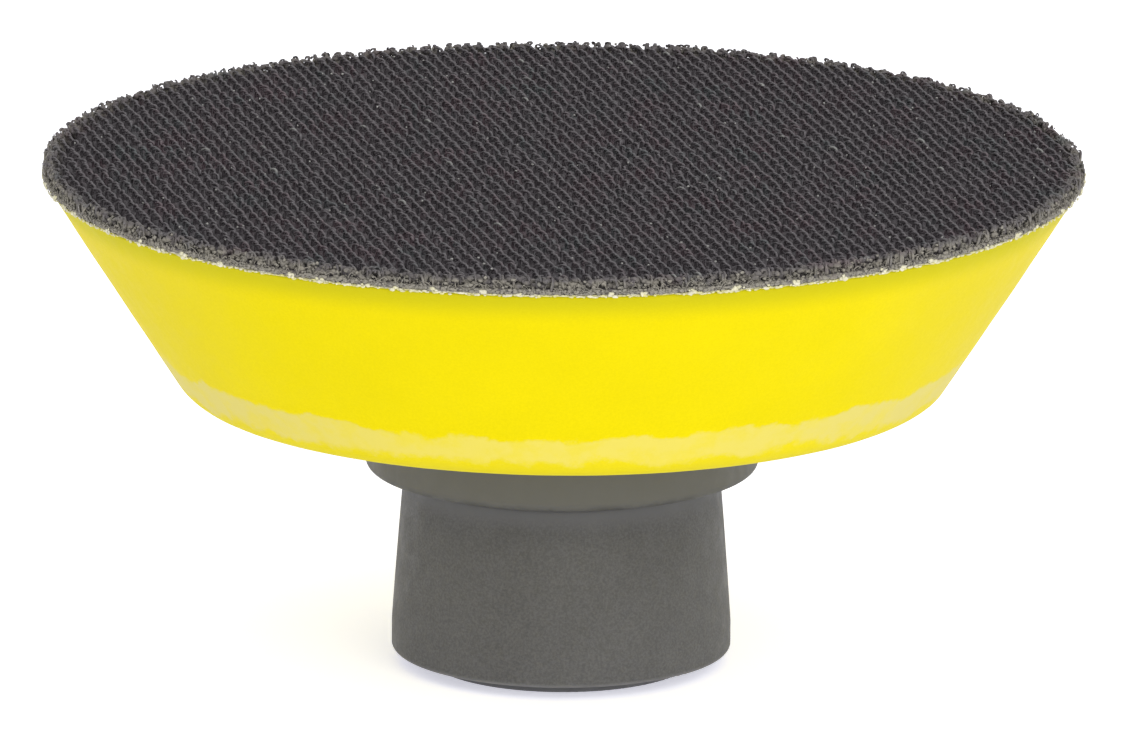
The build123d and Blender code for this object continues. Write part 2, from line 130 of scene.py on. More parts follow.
# ---- foam --------------------------------------------------------------------------------------
def foam_outline():
    """The cushion's section: flared side, rounded lower edge, flat back, pocket for the hub."""
    bottom_r = FOAM_TOP_R - FOAM_FLARE * (foam_high.z - foam_low.z)
    lean = math.degrees(math.atan(FOAM_FLARE))
    trim = FOAM_EDGE_R * math.tan(math.radians((90 - lean) / 2))
    edge = (bottom_r - trim, foam_low.z + FOAM_EDGE_R)
    rounding = arc(edge, FOAM_EDGE_R, -90, -lean, 14)
    hub_hole_r = HUB_R + FOAM_GAP
    plate_hole_r = PLATE_R + FOAM_GAP
    flange_hole_r = INSERT_FLANGE_R + FOAM_GAP
    dome_hole_r = INSERT_DOME_R + FOAM_GAP
    flange_top = plate_high.z + INSERT_FLANGE_T
    rim_round = 0.25 * MM
    outline = run((hub_hole_r, foam_low.z), rounding[0], 24)
    outline += rounding
    outline += run(rounding[-1], (FOAM_TOP_R, foam_high.z), 60)[1:]
    outline += [(FOAM_TOP_R, foam_high.z), (FOAM_TOP_R - rim_round, foam_high.z)]
    outline += [(AXIS_R, foam_high.z), (AXIS_R, insert_high.z)]
    outline += [
        (dome_hole_r, insert_high.z),
        (dome_hole_r, flange_top),
        (flange_hole_r, flange_top),
        (flange_hole_r, plate_high.z),
        (plate_hole_r, plate_high.z),
        (plate_hole_r, plate_low.z),
        (hub_hole_r, plate_low.z),
    ]
    return outline


LONG_WAVES, LONG_WAVE_H = 90, 0.10 * MM  # waves a metre and their height
SHORT_WAVES, SHORT_WAVE_H = 420, 0.025 * MM


def foam_wobble(p):
    """Moulded foam isn't quite true: long shallow waves and small pits on its outer side."""
    radius = math.hypot(p.x, p.y)
    inside = radius < PLATE_R + 1 * MM and p.z > foam_low.z + 0.1 * MM
    near_top = p.z > foam_high.z - 0.3 * MM
    if inside or near_top or radius < HUB_R + 0.5 * MM:
        return p
    fade = min(1.0, (foam_high.z - p.z) / (2 * MM))
    long_wave = noise.noise(p * LONG_WAVES) * LONG_WAVE_H
    short_wave = noise.noise(p * SHORT_WAVES + Vector((3, 7, 1))) * SHORT_WAVE_H
    outward = Vector((p.x, p.y, 0)).normalized()
    return p + outward * (long_wave + short_wave) * fade


foam = revolved("foam_body", foam_outline(), 360, foam_wobble)
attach(foam, "pad")
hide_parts("foam_cushion")


# ---- hook tape ---------------------------------------------------------------------------------
TAPE_RINGS = 24
CUT_WANDER = 0.09 * MM  # how far the tape's cut edge wanders


def tape_outline():
    """A thin disc with a slightly rounded cut edge."""
    t = backing_high.z - backing_low.z
    middle = (backing_low.z + backing_high.z) / 2
    r = DISC_R - t / 2
    edge = arc((r, middle), t / 2, -80, 80, 6)
    inner = [(r * (1 - i / TAPE_RINGS) + AXIS_R, backing_high.z) for i in range(1, TAPE_RINGS + 1)]
    under = [(AXIS_R, backing_low.z), (r * 0.5, backing_low.z)]
    return under + edge + inner


def tape_wobble(p):
    """The cut edge runs a little in and out."""
    radius = math.hypot(p.x, p.y)
    if radius < DISC_R - 0.5 * MM:
        return p
    inward = (noise.noise(p * 700) + 0.5 * noise.noise(p * 2600) - 0.7) * CUT_WANDER
    return p + Vector((p.x, p.y, 0)).normalized() * inward


tape = revolved("hook_tape", tape_outline(), 480, tape_wobble)
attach(tape, "pad")
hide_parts("hook_backing")


# ---- hooks -------------------------------------------------------------------------------------
# one hook: a leg, and a curl that is cut open
HOOK_H = pile_high.z - pile_low.z
ROOT = -0.05 * MM  # strands start this far down in the backing
WIRE_R = 0.105 * MM
WIRE_SIDES = 4
CURL_REACH = 0.38 * MM  # half the curl's length along its row
CURL_RISE = 0.2 * MM  # half its height
CURL_END = -0.75  # angle of the cut tip, in radians

# how the hooks stand
HOOK_SKEW = 0.34  # how far each one stands turned from its row, in radians
TURN_SPREAD = 0.18  # scatter of that turn, in radians
LEAN_SPREAD = 0.06  # of their lean, for their height
SPOT_SPREAD = 0.03 * MM  # and of where they stand
TURNED_LOWER = 0.04  # how much lower, for its height, every second hook in a row stands
RIM_MARGIN = 0.15 * MM  # the outermost hooks stand at least this far in from the rim
STRAY = 0.05 * MM  # how far past the rim a strand may reach
WORN_RIM = 2 * MM  # within this of the rim the hooks are worn lower
WORN_LOWER = 0.1  # by this much of their height

# close to the rim: small tips and barbs by turns, with crushed, nearly closed curls between them
MATTED_RIM = 0.8 * MM
TIP_REACH = 0.16 * MM
TIP_RISE = 0.125 * MM
BARB_REACH = 0.15 * MM
BARB_RISE = 0.2 * MM
BARB_END = 0.9  # a barb is a hook that was cut short: its curl stops at this angle
MATTED_R = 0.12 * MM
MATTED_REACH = 0.19 * MM
MATTED_RISE = 0.11 * MM
MATTED_SHARES = (0.0, 0.3, 0.6, 0.85)  # where the matted curls stand between two places of a row
MATTED_TURN_SPREAD = 1.0  # they are scattered much more than the hooks
MATTED_LEAN_SPREAD = 0.25
MATTED_SPOT_SPREAD = 0.1 * MM

# the backing's ribs
RIB_R = 0.22 * MM
RIB_SIDES = 5
RIB_LIFT = 0.1 * MM  # how far their middles stand above the backing
RIB_STEP = 0.42 * MM  # from one point of a rib to the next
RIB_REACH = DISC_R - 0.35 * MM
RIB_SHORT = 0.5 * MM  # a rib may stop this much short of that
RIB_SWELL = 0.04 * MM  # how much higher they stand at every hook
RIB_DRIFT = 0.05 * MM  # how far they wander aside


def hook_line(wire, reach, rise, end=CURL_END):
    """Middle line of one hook in its own plane: a leg, then the curl, down to the cut tip."""
    top = HOOK_H - wire - rise
    leg = [(-reach, ROOT), (-1.05 * reach, 0.5 * top)]
    curl = [
        (reach * math.cos(a), top + rise * math.sin(a))
        for a in np.linspace(math.pi, end, 7)
    ]
    return np.array(leg + curl)


def stub_line():
    """The loop's other leg, left standing where the loop was cut."""
    foot = 1.1 * CURL_REACH
    return np.array([(foot, ROOT), (foot * 1.05, 0.2 * HOOK_H), (foot, 0.38 * HOOK_H)])


def tube(line, radius, sides, taper=0.85, up=(0.0, 1.0, 0.0)):
    """Points and faces of a thin tube along a line of points, with closed ends."""
    n = len(line)
    points = np.zeros((n * sides, 3))
    for i in range(n):
        along = line[min(i + 1, n - 1)] - line[max(i - 1, 0)]
        side = np.cross(up, along)
        side = side / max(np.linalg.norm(side), 1e-12)
        other = np.cross(along / np.linalg.norm(along), side)
        r = radius * (1 - (1 - taper) * i / (n - 1))
        for s in range(sides):
            angle = TAU * (s + 0.5) / sides
            points[i * sides + s] = line[i] + r * (math.cos(angle) * side + math.sin(angle) * other)
    faces = []
    for i in range(n - 1):
        for s in range(sides):
            t = (s + 1) % sides
            faces.append((i * sides + s, i * sides + t, (i + 1) * sides + t, (i + 1) * sides + s))
    faces.append(tuple(range((n - 1) * sides, n * sides)))
    faces.append(tuple(reversed(range(sides))))
    return points, faces


def in_plane(line):
    """A line in the hook's plane, as points in space."""
    return np.stack([line[:, 0], np.zeros(len(line)), line[:, 1]], axis=1)


HOOK_LINE = hook_line(WIRE_R, CURL_REACH, CURL_RISE)
HOOK_POINTS, HOOK_FACES = tube(in_plane(HOOK_LINE), WIRE_R, WIRE_SIDES)
TIP_LINE = hook_line(WIRE_R, TIP_REACH, TIP_RISE)
TIP_POINTS, TIP_FACES = tube(in_plane(TIP_LINE), WIRE_R, WIRE_SIDES)
BARB_LINE = hook_line(WIRE_R, BARB_REACH, BARB_RISE, BARB_END)
BARB_POINTS, BARB_FACES = tube(in_plane(BARB_LINE), WIRE_R, WIRE_SIDES, taper=0.5)
MATTED_LINE = hook_line(MATTED_R, MATTED_REACH, MATTED_RISE)
MATTED_POINTS, MATTED_FACES = tube(in_plane(MATTED_LINE), MATTED_R, WIRE_SIDES)
STUB_POINTS, STUB_FACES = tube(in_plane(stub_line()), WIRE_R, WIRE_SIDES, taper=1.0)


class Strands:
    """Many small closed shapes gathered into one mesh; each strand has its own shade."""

    def __init__(self):
        self.points, self.faces, self.shades = [], [], []
        self.count = 0

    def add(self, points, faces, shade):
        """Takes in one closed shape; shade is 0 to 1."""
        self.points.append(points)
        self.faces += [tuple(i + self.count for i in f) for f in faces]
        self.shades += [shade] * len(points)
        self.count += len(points)

    def piece(self, name):
        """Everything taken in, as one piece that turns with the pad."""
        made = mesh_object(name, np.concatenate(self.points), self.faces)
        layer = made.data.attributes.new("shade", "FLOAT", "POINT")
        layer.data.foreach_set("value", self.shades)
        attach(made, "pad")
        return made


def hook_places():
    """Every grid place on the disc: its row, its number in the row, and its position."""
    places = []
    for row in range(-LAST_ROW, LAST_ROW + 1):
        for k in range(-LAST_HOOK, LAST_HOOK + 1):
            p = ROW_STEP * row + HOOK_STEP * k
            if p.length < DISC_R - RIM_MARGIN:
                places.append((row, k, p))
    return places


def stand_hook(base, place, turn, lean, height):
    """One strand's points where it stands: turned, leaned, shortened and held back at the rim."""
    c, s = math.cos(turn), math.sin(turn)
    z = base[:, 2] * height
    x = base[:, 0] * c - base[:, 1] * s + lean[0] * z + place[0]
    y = base[:, 0] * s + base[:, 1] * c + lean[1] * z + place[1]
    pull = np.minimum(1.0, (DISC_R + STRAY) / np.maximum(np.hypot(x, y), 1e-9))
    return np.stack([x * pull, y * pull, np.minimum(z + pile_low.z, pile_high.z)], axis=1)


def hook_field(name, places):
    """All the hooks at these places as one piece.

    In a row they face this way and that by turns. At the rim they are tips and barbs, with matted
    curls between them.
    """
    strands = Strands()
    for _, k, place in places:
        turned = k % 2 == 1
        turn = ROW_ANGLE + HOOK_SKEW + math.pi * turned + rng.normal(0, TURN_SPREAD)
        lean = rng.normal(0, LEAN_SPREAD, 2)
        height = rng.uniform(0.87, 1.0) - TURNED_LOWER * turned
        spot = np.array(place) + rng.normal(0, SPOT_SPREAD, 2)
        from_rim = DISC_R - place.length
        if from_rim < WORN_RIM:
            height -= WORN_LOWER
        shade = rng.random()
        if from_rim > MATTED_RIM:
            strands.add(stand_hook(HOOK_POINTS, spot, turn, lean, height), HOOK_FACES, shade)
            if turned:
                strands.add(stand_hook(STUB_POINTS, spot, turn, lean, height), STUB_FACES, shade)
            continue
        if turned:
            strands.add(stand_hook(TIP_POINTS, spot, turn, lean, height), TIP_FACES, shade)
        else:
            strands.add(stand_hook(BARB_POINTS, spot, turn, lean, 1.0), BARB_FACES, shade)
        for share in MATTED_SHARES:
            beside = spot + np.array(HOOK_STEP) * share + rng.normal(0, MATTED_SPOT_SPREAD, 2)
            lean, height = rng.normal(0, MATTED_LEAN_SPREAD, 2), rng.uniform(0.6, 0.9)
            own_turn = turn + rng.normal(0, MATTED_TURN_SPREAD)
            matted = stand_hook(MATTED_POINTS, beside, own_turn, lean, height)
            strands.add(matted, MATTED_FACES, rng.random())
    piece = strands.piece(name)
    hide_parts("hook_pile")
    return piece


def row_ribs():
    """The backing's raised yarns, one under each row of hooks, swelling at every hook."""
    ribs = Strands()
    along = np.array(HOOK_STEP.normalized())
    across = np.array((-along[1], along[0]))
    for row in range(-LAST_ROW, LAST_ROW + 1):
        start = np.array(ROW_STEP) * row
        middle = -start @ along
        half = RIB_REACH**2 - (start + middle * along) @ (start + middle * along)
        if half < RIB_STEP**2:
            continue
        half = math.sqrt(half) - rng.uniform(0, RIB_SHORT)
        steps = max(2, int(2 * half / RIB_STEP))
        line = []
        for t in np.linspace(middle - half, middle + half, steps + 1):
            swell = RIB_SWELL * math.cos(TAU * t / HOOK_STEP.length)
            drift = RIB_DRIFT * noise.noise(Vector((row, t * 900, 0.5)))
            spot = start + along * t + across * drift
            line.append((spot[0], spot[1], backing_high.z + RIB_LIFT + swell))
        points, faces = tube(np.array(line), RIB_R, RIB_SIDES, taper=1.0, up=(0.0, 0.0, 1.0))
        ribs.add(points, faces, rng.random())
    return ribs.piece("tape_ribs")


places = hook_places()
hooks = [
    hook_field(f"hooks_row_set_{n + 1}", [p for p in places if p[0] % ROW_SETS == n])
    for n in range(ROW_SETS)
]
ribs = row_ribs()


# ---- frayed edge of the tape -------------------------------------------------------------------
TUFTS = 270
TUFT_SPREAD = 0.0075  # scatter of a tuft's lumps and fibres along the rim, in radians
FIBRE_SIDES = 3
LUMP_RINGS = 4
LUMP_SIDES = 6
FILLING_LUMPS = 5  # for each tuft
CRUMBS = 2400
LINT_SPECKS = 170


def rim_axes(angle):
    """Directions outward, along the rim and up at this angle."""
    outward = np.array((math.cos(angle), math.sin(angle), 0.0))
    across = np.array((-math.sin(angle), math.cos(angle), 0.0))
    return outward, across, np.array((0.0, 0.0, 1.0))


def lump(angle, radius, height, size, stretch):
    """One uneven lump at this place near the rim, drawn out along the rim."""
    outward, across, upward = rim_axes(angle)
    centre = outward * radius + upward * height
    points = []
    for i in range(LUMP_RINGS + 1):
        v = math.pi * i / LUMP_RINGS
        for j in range(LUMP_SIDES):
            u = TAU * j / LUMP_SIDES
            bulge = outward * math.cos(u) * 0.7 + upward * math.sin(u)
            reach = across * math.cos(v) * stretch + bulge * math.sin(v)
            rough = rng.uniform(0.65, 1.35)
            points.append(centre + reach * size * rough)
    faces = []
    for i in range(LUMP_RINGS):
        for j in range(LUMP_SIDES):
            a, b = i * LUMP_SIDES + j, i * LUMP_SIDES + (j + 1) % LUMP_SIDES
            faces.append((a, b, b + LUMP_SIDES, a + LUMP_SIDES))
    return np.array(points), faces


def fibre(angle):
    """One short curled fibre that starts in the tape's cut edge and lies against the hooks."""
    outward, across, upward = rim_axes(angle)
    foot = outward * (DISC_R - rng.uniform(0.0, 0.35) * MM)
    foot = foot + upward * (backing_low.z + rng.uniform(0.03, 0.3) * MM)
    drift = across * rng.normal(0, 0.7) + outward * rng.uniform(-0.3, 0.1)
    rise = upward * rng.uniform(0.2, 0.9)
    length = rng.uniform(0.3, 0.8) * MM
    line = [foot + (drift * s + rise * math.sin(2.4 * s)) * length for s in (0, 0.35, 0.7, 1.0)]
    return tube(np.array(line), rng.uniform(0.035, 0.06) * MM, FIBRE_SIDES)


def frayed_edge():
    """Cut ends of the backing's threads: crushed lumps and curled fibres at the end of each row."""
    strands = Strands()
    for t in range(TUFTS):
        middle = TAU * (t + rng.uniform(-0.3, 0.3)) / TUFTS
        paleness = rng.random()
        for _ in range(rng.integers(5, 10)):
            depth = rng.random()
            height = backing_low.z + rng.uniform(0.1, 0.4 + 0.8 * depth) * MM
            radius = DISC_R - (0.08 + 0.45 * depth) * MM
            size = rng.uniform(0.06, 0.15) * MM
            place = middle + rng.normal(0, TUFT_SPREAD)
            points, faces = lump(place, radius, height, size, rng.uniform(0.8, 1.5))
            strands.add(points, faces, 0.4 * paleness + 0.6 * rng.random())
        for _ in range(rng.integers(6, 13)):
            points, faces = fibre(middle + rng.normal(0, TUFT_SPREAD))
            strands.add(points, faces, 0.4 * paleness + 0.6 * rng.random())
    return strands.piece("frayed_edge")


def rim_filling():
    """Crushed thread that fills the rim under the hooks' curls."""
    strands = Strands()
    for t in range(TUFTS):
        for _ in range(FILLING_LUMPS):
            place = TAU * (t + rng.random()) / TUFTS
            radius = DISC_R - rng.uniform(0.3, 1.0) * MM
            height = backing_high.z + rng.uniform(0.1, 0.62) * MM
            points, faces = lump(place, radius, height, rng.uniform(0.17, 0.25) * MM, 1.3)
            strands.add(points, faces, rng.random())
    return strands.piece("rim_filling")


def edge_crumbs():
    """Crumbs of thread on the tape's cut edge."""
    strands = Strands()
    for _ in range(CRUMBS):
        height = rng.uniform(backing_low.z + 0.03 * MM, backing_high.z)
        size = rng.uniform(0.06, 0.12) * MM
        place, radius = rng.uniform(0, TAU), DISC_R - 0.03 * MM
        points, faces = lump(place, radius, height, size, rng.uniform(0.8, 1.6))
        strands.add(points, faces, rng.random())
    return strands.piece("edge_crumbs")


def lint_specks():
    """Specks of pale lint caught on the hooks."""
    strands = Strands()
    for _ in range(LINT_SPECKS):
        radius = (DISC_R - 1 * MM) * math.sqrt(rng.random())
        height = pile_high.z - rng.uniform(0.03, 0.14) * MM
        points, faces = lump(rng.uniform(0, TAU), radius, height, rng.uniform(0.05, 0.09) * MM, 1.2)
        strands.add(points, faces, rng.random())
    return strands.piece("lint_specks")


fray = frayed_edge()
filling = rim_filling()
crumbs = edge_crumbs()
lint = lint_specks()


# ---- squeezed-out glue -------------------------------------------------------------------------
BEAD_AROUND = 720
BEAD_SIDES = 6
BEAD_R = 0.085 * MM
BEAD_OUT = 0.05 * MM  # how far outside the foam the bead's middle runs
BEAD_UP = 0.03 * MM  # and how far above it
BIG_LUMPS = 80
SMALL_LUMPS = 1100


def bead_point(k, s):
    """A point on the glue's bead; the bead swells, thins and almost stops along its way."""
    a, b = TAU * k / BEAD_AROUND, TAU * s / BEAD_SIDES
    on_rim = Vector((math.cos(a), math.sin(a), 0)) * DISC_R
    fullness = 0.5 + noise.noise(on_rim * 900) + 0.8 * noise.noise(on_rim * 2600)
    r = BEAD_R * max(0.05, fullness)
    out = FOAM_TOP_R + BEAD_OUT + r * math.cos(b)
    height = foam_high.z + BEAD_UP + r * math.sin(b)
    return np.array((out * math.cos(a), out * math.sin(a), height))


def bead():
    """The bead all round, as points and faces."""
    points = [bead_point(k, s) for k in range(BEAD_AROUND) for s in range(BEAD_SIDES)]
    faces = []
    for k in range(BEAD_AROUND):
        here, there = k * BEAD_SIDES, (k + 1) % BEAD_AROUND * BEAD_SIDES
        for s in range(BEAD_SIDES):
            t = (s + 1) % BEAD_SIDES
            faces.append((here + s, here + t, there + t, there + s))
    return np.array(points), faces


def glue_line():
    """The bead, clusters of white lumps about every 3 mm against the tape's edge, and crumbs."""
    glue = Strands()
    glue.add(*bead(), 0.2)
    for n in range(BIG_LUMPS):
        middle = TAU * (n + rng.uniform(-0.22, 0.22)) / BIG_LUMPS
        if rng.random() < 0.2:
            continue
        for _ in range(rng.integers(3, 7)):
            place = middle + rng.normal(0, 0.005)
            height = foam_high.z + rng.uniform(0.0, 0.3) * MM
            size = rng.uniform(0.08, 0.17) * MM
            radius = DISC_R + rng.uniform(-0.02, 0.05) * MM
            points, faces = lump(place, radius, height, size, rng.uniform(0.9, 1.8))
            glue.add(points, faces, rng.uniform(0.6, 1.0))
    for _ in range(SMALL_LUMPS):
        height = foam_high.z + rng.uniform(-0.03, 0.1) * MM
        size = rng.uniform(0.045, 0.095) * MM
        place, radius = rng.uniform(0, TAU), DISC_R + 0.02 * MM
        points, faces = lump(place, radius, height, size, rng.uniform(1.0, 3.0))
        glue.add(points, faces, rng.random())
    piece = glue.piece("glue_line")
    return piece


glue = glue_line()


# ---- materials ---------------------------------------------------------------------------------
class Finish:
    """One node material: a Principled surface and short ways to add nodes to it."""

    def __init__(self, name, colour, roughness, **values):
        self.material = bpy.data.materials.new(name)
        self.material.use_nodes = True
        self.material.diffuse_color = (*colour, 1)
        tree = self.material.node_tree
        self.nodes, self.links = tree.nodes, tree.links
        self.surface = self.nodes["Principled BSDF"]
        self.surface.inputs["Base Color"].default_value = (*colour, 1)
        self.surface.inputs["Roughness"].default_value = roughness
        for key, value in values.items():
            self.surface.inputs[key.replace("_", " ")].default_value = value
        self.where = self.nodes.new("ShaderNodeTexCoord").outputs["Object"]

    def link(self, output, target):
        """Joins a node's output to another's input."""
        self.links.new(output, target)

    def moved(self, scale=(1, 1, 1), angle=0.0, offset=(0, 0, 0)):
        """Object coordinates, turned about the spindle and scaled."""
        node = self.nodes.new("ShaderNodeMapping")
        node.inputs["Scale"].default_value = scale
        node.inputs["Rotation"].default_value = (0, 0, angle)
        node.inputs["Location"].default_value = offset
        self.link(self.where, node.inputs["Vector"])
        return node.outputs["Vector"]

    def noise(self, scale, detail=3.0, roughness=0.55, vector=None):
        """Fractal noise, at this many cells a metre."""
        node = self.nodes.new("ShaderNodeTexNoise")
        node.inputs["Scale"].default_value = scale
        node.inputs["Detail"].default_value = detail
        node.inputs["Roughness"].default_value = roughness
        self.link(vector or self.where, node.inputs["Vector"])
        return node.outputs["Fac"]

    def ramp(self, value, low, high, start=0.0, end=1.0):
        """value from low..high, as start..end, without going past them."""
        node = self.nodes.new("ShaderNodeMapRange")
        node.inputs["From Min"].default_value = low
        node.inputs["From Max"].default_value = high
        node.inputs["To Min"].default_value = start
        node.inputs["To Max"].default_value = end
        node.interpolation_type = "SMOOTHSTEP"
        self.link(value, node.inputs["Value"])
        return node.outputs["Result"]

    def maths(self, operation, a, b=None):
        """One sum of two values, each a number or a node's output."""
        node = self.nodes.new("ShaderNodeMath")
        node.operation = operation
        for socket, value in zip(node.inputs, (a, b)):
            if value is None:
                continue
            if isinstance(value, (int, float)):
                socket.default_value = value
            else:
                self.link(value, socket)
        return node.outputs[0]

    def mixed(self, factor, a, b):
        """Colour a where factor is 0 and b where it is 1."""
        node = self.nodes.new("ShaderNodeMix")
        node.data_type = "RGBA"
        if isinstance(factor, float):
            node.inputs[0].default_value = factor
        else:
            self.link(factor, node.inputs[0])
        for socket, value in ((node.inputs[6], a), (node.inputs[7], b)):
            if isinstance(value, tuple):
                socket.default_value = (*value, 1)
            else:
                self.link(value, socket)
        return node.outputs[2]

    def split(self):
        """x, y and z of the surface point."""
        node = self.nodes.new("ShaderNodeSeparateXYZ")
        self.link(self.where, node.inputs[0])
        return node.outputs

    def radius(self):
        """The surface point's distance from the spindle axis."""
        x, y, _ = self.split()
        squares = [self.maths("MULTIPLY", v, v) for v in (x, y)]
        return self.maths("SQRT", self.maths("ADD", *squares))

    def colour(self, output):
        """Sets the surface's colour from a node's output."""
        self.link(output, self.surface.inputs["Base Color"])

    def roughness(self, output):
        """Sets the surface's roughness from a node's output."""
        self.link(output, self.surface.inputs["Roughness"])

    def bump(self, height, distance, strength=1.0):
        """Adds fine relief on top of any that is already there."""
        node = self.nodes.new("ShaderNodeBump")
        node.inputs["Strength"].default_value = strength
        node.inputs["Distance"].default_value = distance
        self.link(height, node.inputs["Height"])
        before = self.surface.inputs["Normal"].links
        if before:
            self.link(before[0].from_socket, node.inputs["Normal"])
        self.link(node.outputs["Normal"], self.surface.inputs["Normal"])


RIM_TINT = (0.217, 0.2, 0.165)  # fluff and dust caught by the strands at the rim
BLACK, WHITE = (0.0, 0.0, 0.0), (1.0, 1.0, 1.0)


def foam_finish():
    """Moulded foam skin: strong yellow, fine satin grain, and a pale band along the rounded lower
    edge, partly chalky skin and partly a painted reflection of the floor; painted shade under the
    rim, on the underside and towards the sides, with painted sheen at the sides.
    """
    f = Finish(
        "yellow_foam",
        (0.68, 0.568, 0.001),
        0.62,
        Specular_IOR_Level=0.02,
        Sheen_Weight=0.04,
        Sheen_Roughness=0.35,
    )
    x, _, z = f.split()
    aside = f.maths("ABSOLUTE", x)
    # the pale band along the rounded lower edge: partly chalky skin, partly a painted reflection of
    # the floor
    ragged = f.maths("SUBTRACT", f.noise(200, 7, 0.66), 0.5)
    height = f.maths("ADD", z, f.maths("MULTIPLY", ragged, 3.4 * MM))
    height = f.maths("SUBTRACT", height, f.maths("MULTIPLY", aside, 0.018))
    band_top = f.ramp(height, foam_low.z + 3.1 * MM, foam_low.z + 3.5 * MM, 1.0, 0.0)
    patches = f.maths("MULTIPLY", f.maths("SUBTRACT", f.noise(330, 6, 0.65), 0.5), 3.5 * MM)
    patchy = f.maths("ADD", z, patches)
    band_low = f.ramp(patchy, foam_low.z + 0.95 * MM, foam_low.z + 1.65 * MM, 0.1, 1.0)
    blotch = f.ramp(f.noise(480, 5, 0.6), 0.34, 0.58, 0.62, 1.0)
    chalk_and_reflection = f.maths("MULTIPLY", f.maths("MULTIPLY", band_top, band_low), blotch)
    body = f.mixed(f.ramp(f.noise(130, 4), 0.3, 0.75), (0.67, 0.56, 0.001), (0.695, 0.58, 0.001))
    # painted shade and sheen: the body darker and greyer towards the sides
    body = f.mixed(f.ramp(aside, 19 * MM, 33 * MM), body, (0.635, 0.53, 0.016))
    # painted shade under the overhanging hook disc, darker towards the top of the side
    painted_shade_under_rim = f.ramp(z, foam_high.z - 2.6 * MM, foam_high.z - 0.3 * MM, 0.0, 0.9)
    body = f.mixed(painted_shade_under_rim, body, (0.475, 0.43, 0.007))
    body = f.mixed(f.ramp(f.noise(5200, 2, 0.7), 0.3, 0.7, 0.12, 0.0), body, (0.42, 0.35, 0.0))
    # painted shade on the underside, darker towards the bottom
    painted_shade_underside = f.ramp(z, foam_low.z, foam_low.z + 1.6 * MM, 0.8, 0.0)
    body = f.mixed(painted_shade_underside, body, (0.58, 0.50, 0.004))
    # painted sheen and shade: the pale band greyer and darker towards the sides
    chalk_and_reflection_tone = f.mixed(f.ramp(aside, 8 * MM, 27 * MM), (0.655, 0.56, 0.097), (0.60, 0.525, 0.155))
    f.colour(f.mixed(chalk_and_reflection, body, chalk_and_reflection_tone))
    grain = f.ramp(f.noise(900, 3), 0.3, 0.7, 0.5, 0.62)
    f.roughness(f.maths("ADD", grain, f.maths("MULTIPLY", chalk_and_reflection, 0.2)))
    f.bump(f.noise(2600, 4, 0.7), 0.03 * MM, 0.6)
    f.bump(f.noise(380, 3), 0.08 * MM, 0.35)
    return f.material


def strand_finish(
    name, dark, light, rim_tint=RIM_TINT, roughness=0.5, raised_from=0.0, own_from=0.6, lint=0.35
):
    """Nylon strands: each its own tone, darker at the root and lighter up the strand, painted shade
    with partly worn tops, dusty towards the rim, a few pale.
    """
    f = Finish(name, dark, roughness)
    shade = f.nodes.new("ShaderNodeAttribute")
    shade.attribute_name = "shade"
    own = shade.outputs["Fac"]
    z = f.split()[2]
    raised = f.ramp(z, pile_low.z + 0.1 * MM, pile_high.z - 0.1 * MM)
    # painted shade at the root, lighter towards the top, which is partly worn tops
    wear_and_shade_by_height = f.ramp(raised, 0.0, 1.0, raised_from, 1.0)
    by_strand = f.ramp(own, 0.0, 1.0, own_from, 1.0)
    wear_and_painted_shade = f.maths("MULTIPLY", wear_and_shade_by_height, by_strand)
    body = f.mixed(wear_and_painted_shade, dark, light)
    plum = f.ramp(f.noise(260, 3), 0.5, 0.7, 0.0, 0.45)
    body = f.mixed(plum, body, (0.105, 0.05, 0.066))
    teal = f.ramp(f.noise(240, 3, vector=f.moved(offset=(0.1, 0.2, 0.3))), 0.53, 0.72, 0.0, 0.4)
    body = f.mixed(teal, body, (0.045, 0.08, 0.078))
    # this mottle also sets the bump: the strands are painted darker in its hollows and paler on its
    # rises, painted shade and light with a little pale lint
    mottle = f.ramp(f.noise(4800, 3, 0.7), 0.36, 0.64)
    painted_shade_hollow, lint_and_painted_light = f.mixed(lint, body, BLACK), f.mixed(0.2 * lint, body, (0.5, 0.48, 0.46))
    body = f.mixed(mottle, painted_shade_hollow, lint_and_painted_light)
    near_rim = f.ramp(f.radius(), DISC_R - 1.7 * MM, DISC_R - 0.2 * MM)
    dusty = f.maths("MULTIPLY", near_rim, f.ramp(f.noise(1100, 4), 0.36, 0.6, 0.2, 1.0))
    dusty = f.maths("MULTIPLY", dusty, f.ramp(raised, 0.35, 0.95, 1.0, 0.35))
    body = f.mixed(dusty, body, rim_tint)
    pale = f.maths("MULTIPLY", f.ramp(own, 0.993, 0.997), f.ramp(raised, 0.7, 0.95))
    f.colour(f.mixed(pale, body, (0.21, 0.21, 0.20)))
    f.roughness(f.ramp(f.noise(2400, 2), 0.3, 0.7, roughness - 0.1, roughness + 0.1))
    f.bump(f.noise(6000, 2), 0.01 * MM, 0.4)
    f.bump(mottle, 0.04 * MM, lint)
    return f.material


THREAD_GAP = 0.3 * MM  # between the fine threads that cross the tape's ribs


